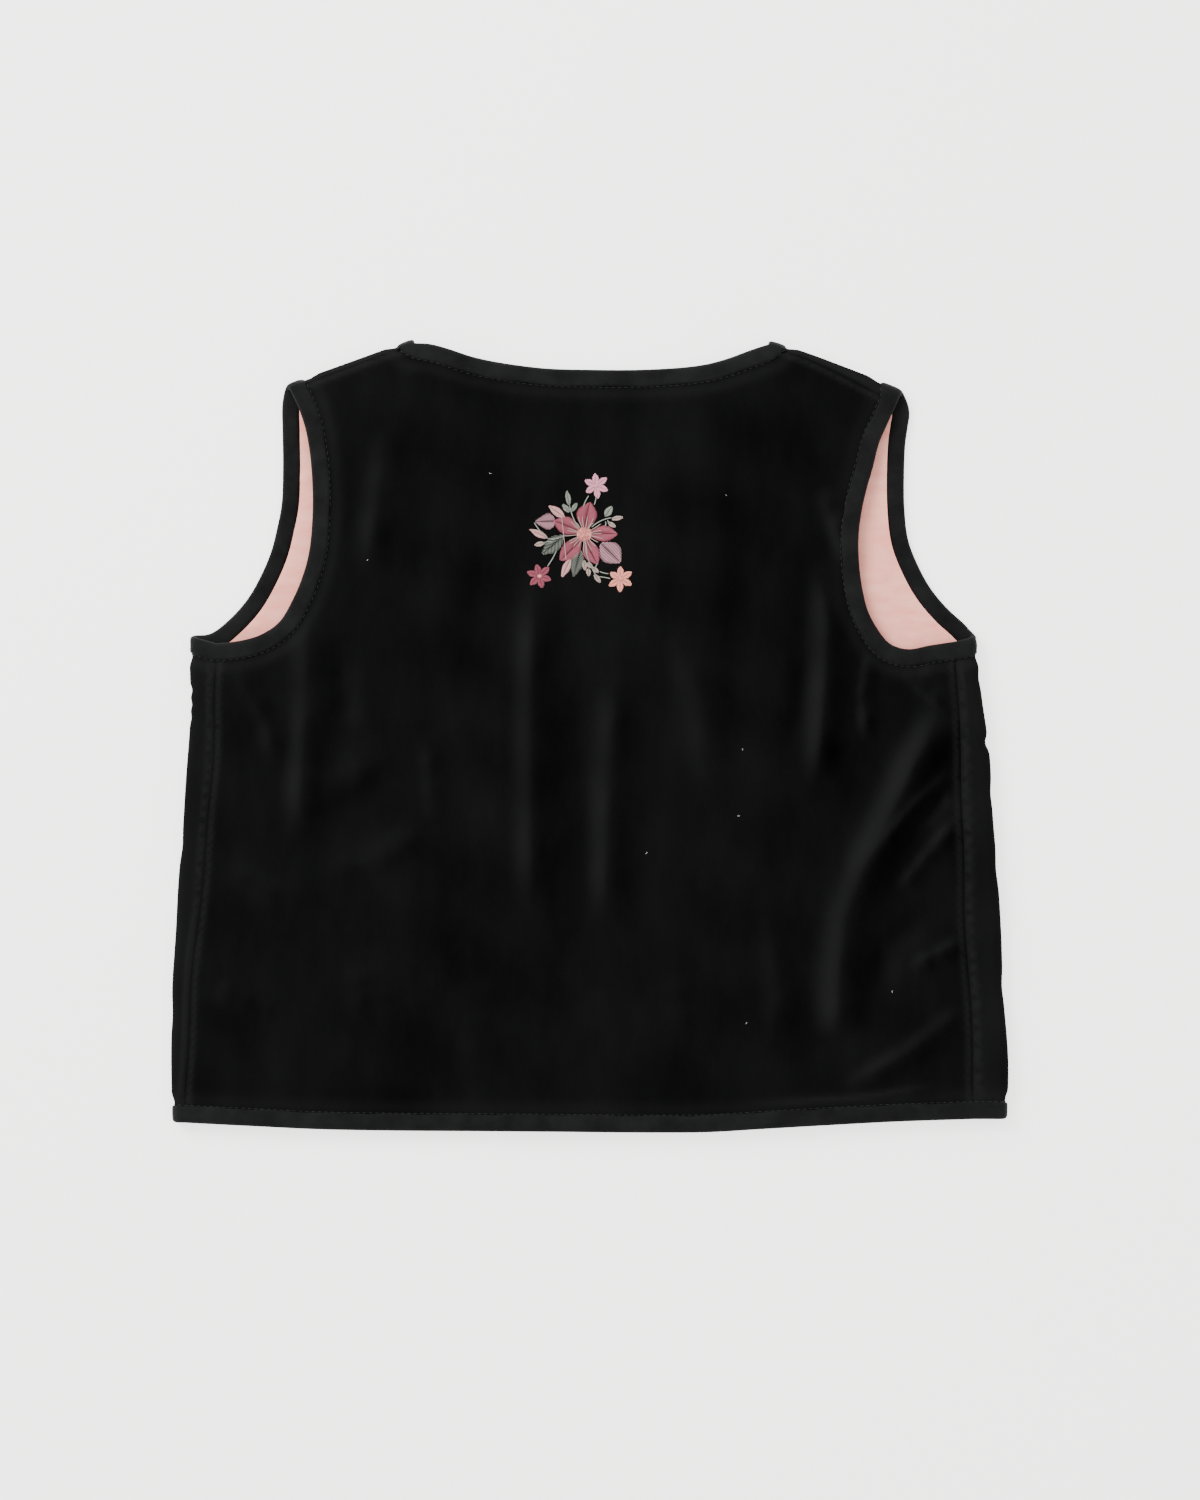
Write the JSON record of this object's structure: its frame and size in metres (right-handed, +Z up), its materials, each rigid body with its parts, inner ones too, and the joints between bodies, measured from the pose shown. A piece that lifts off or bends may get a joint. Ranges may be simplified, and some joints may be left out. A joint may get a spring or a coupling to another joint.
{
  "type": "child's embroidered velvet waistcoat",
  "caption": "Sleeveless black velvet waistcoat laid flat with its back up: bound neck, armholes and hem, salmon satin lining, floral embroidery high on the back.",
  "frame": {"origin": "centre of the bounding box, on the surface it lies on", "axes": "+X to the wearer's right (the viewer's right), +Y towards the neck, +Z up out of the back"},
  "size_m": [0.394, 0.3734, 0.0118],
  "materials": {
    "velvet": "black pile velvet",
    "binding": "matt charcoal-black woven binding",
    "lining": "salmon-pink satin"
  },
  "bodies": {
    "root": {"back_panel": "velvet", "front_left": "velvet", "front_right": "velvet", "lining_front_left": "lining", "lining_front_right": "lining", "binding_armhole_left": "binding", "binding_armhole_right": "binding", "binding_neck": "binding", "binding_front_left": "binding", "binding_front_right": "binding", "binding_hem": "binding"}
  },
  "joints": []
}
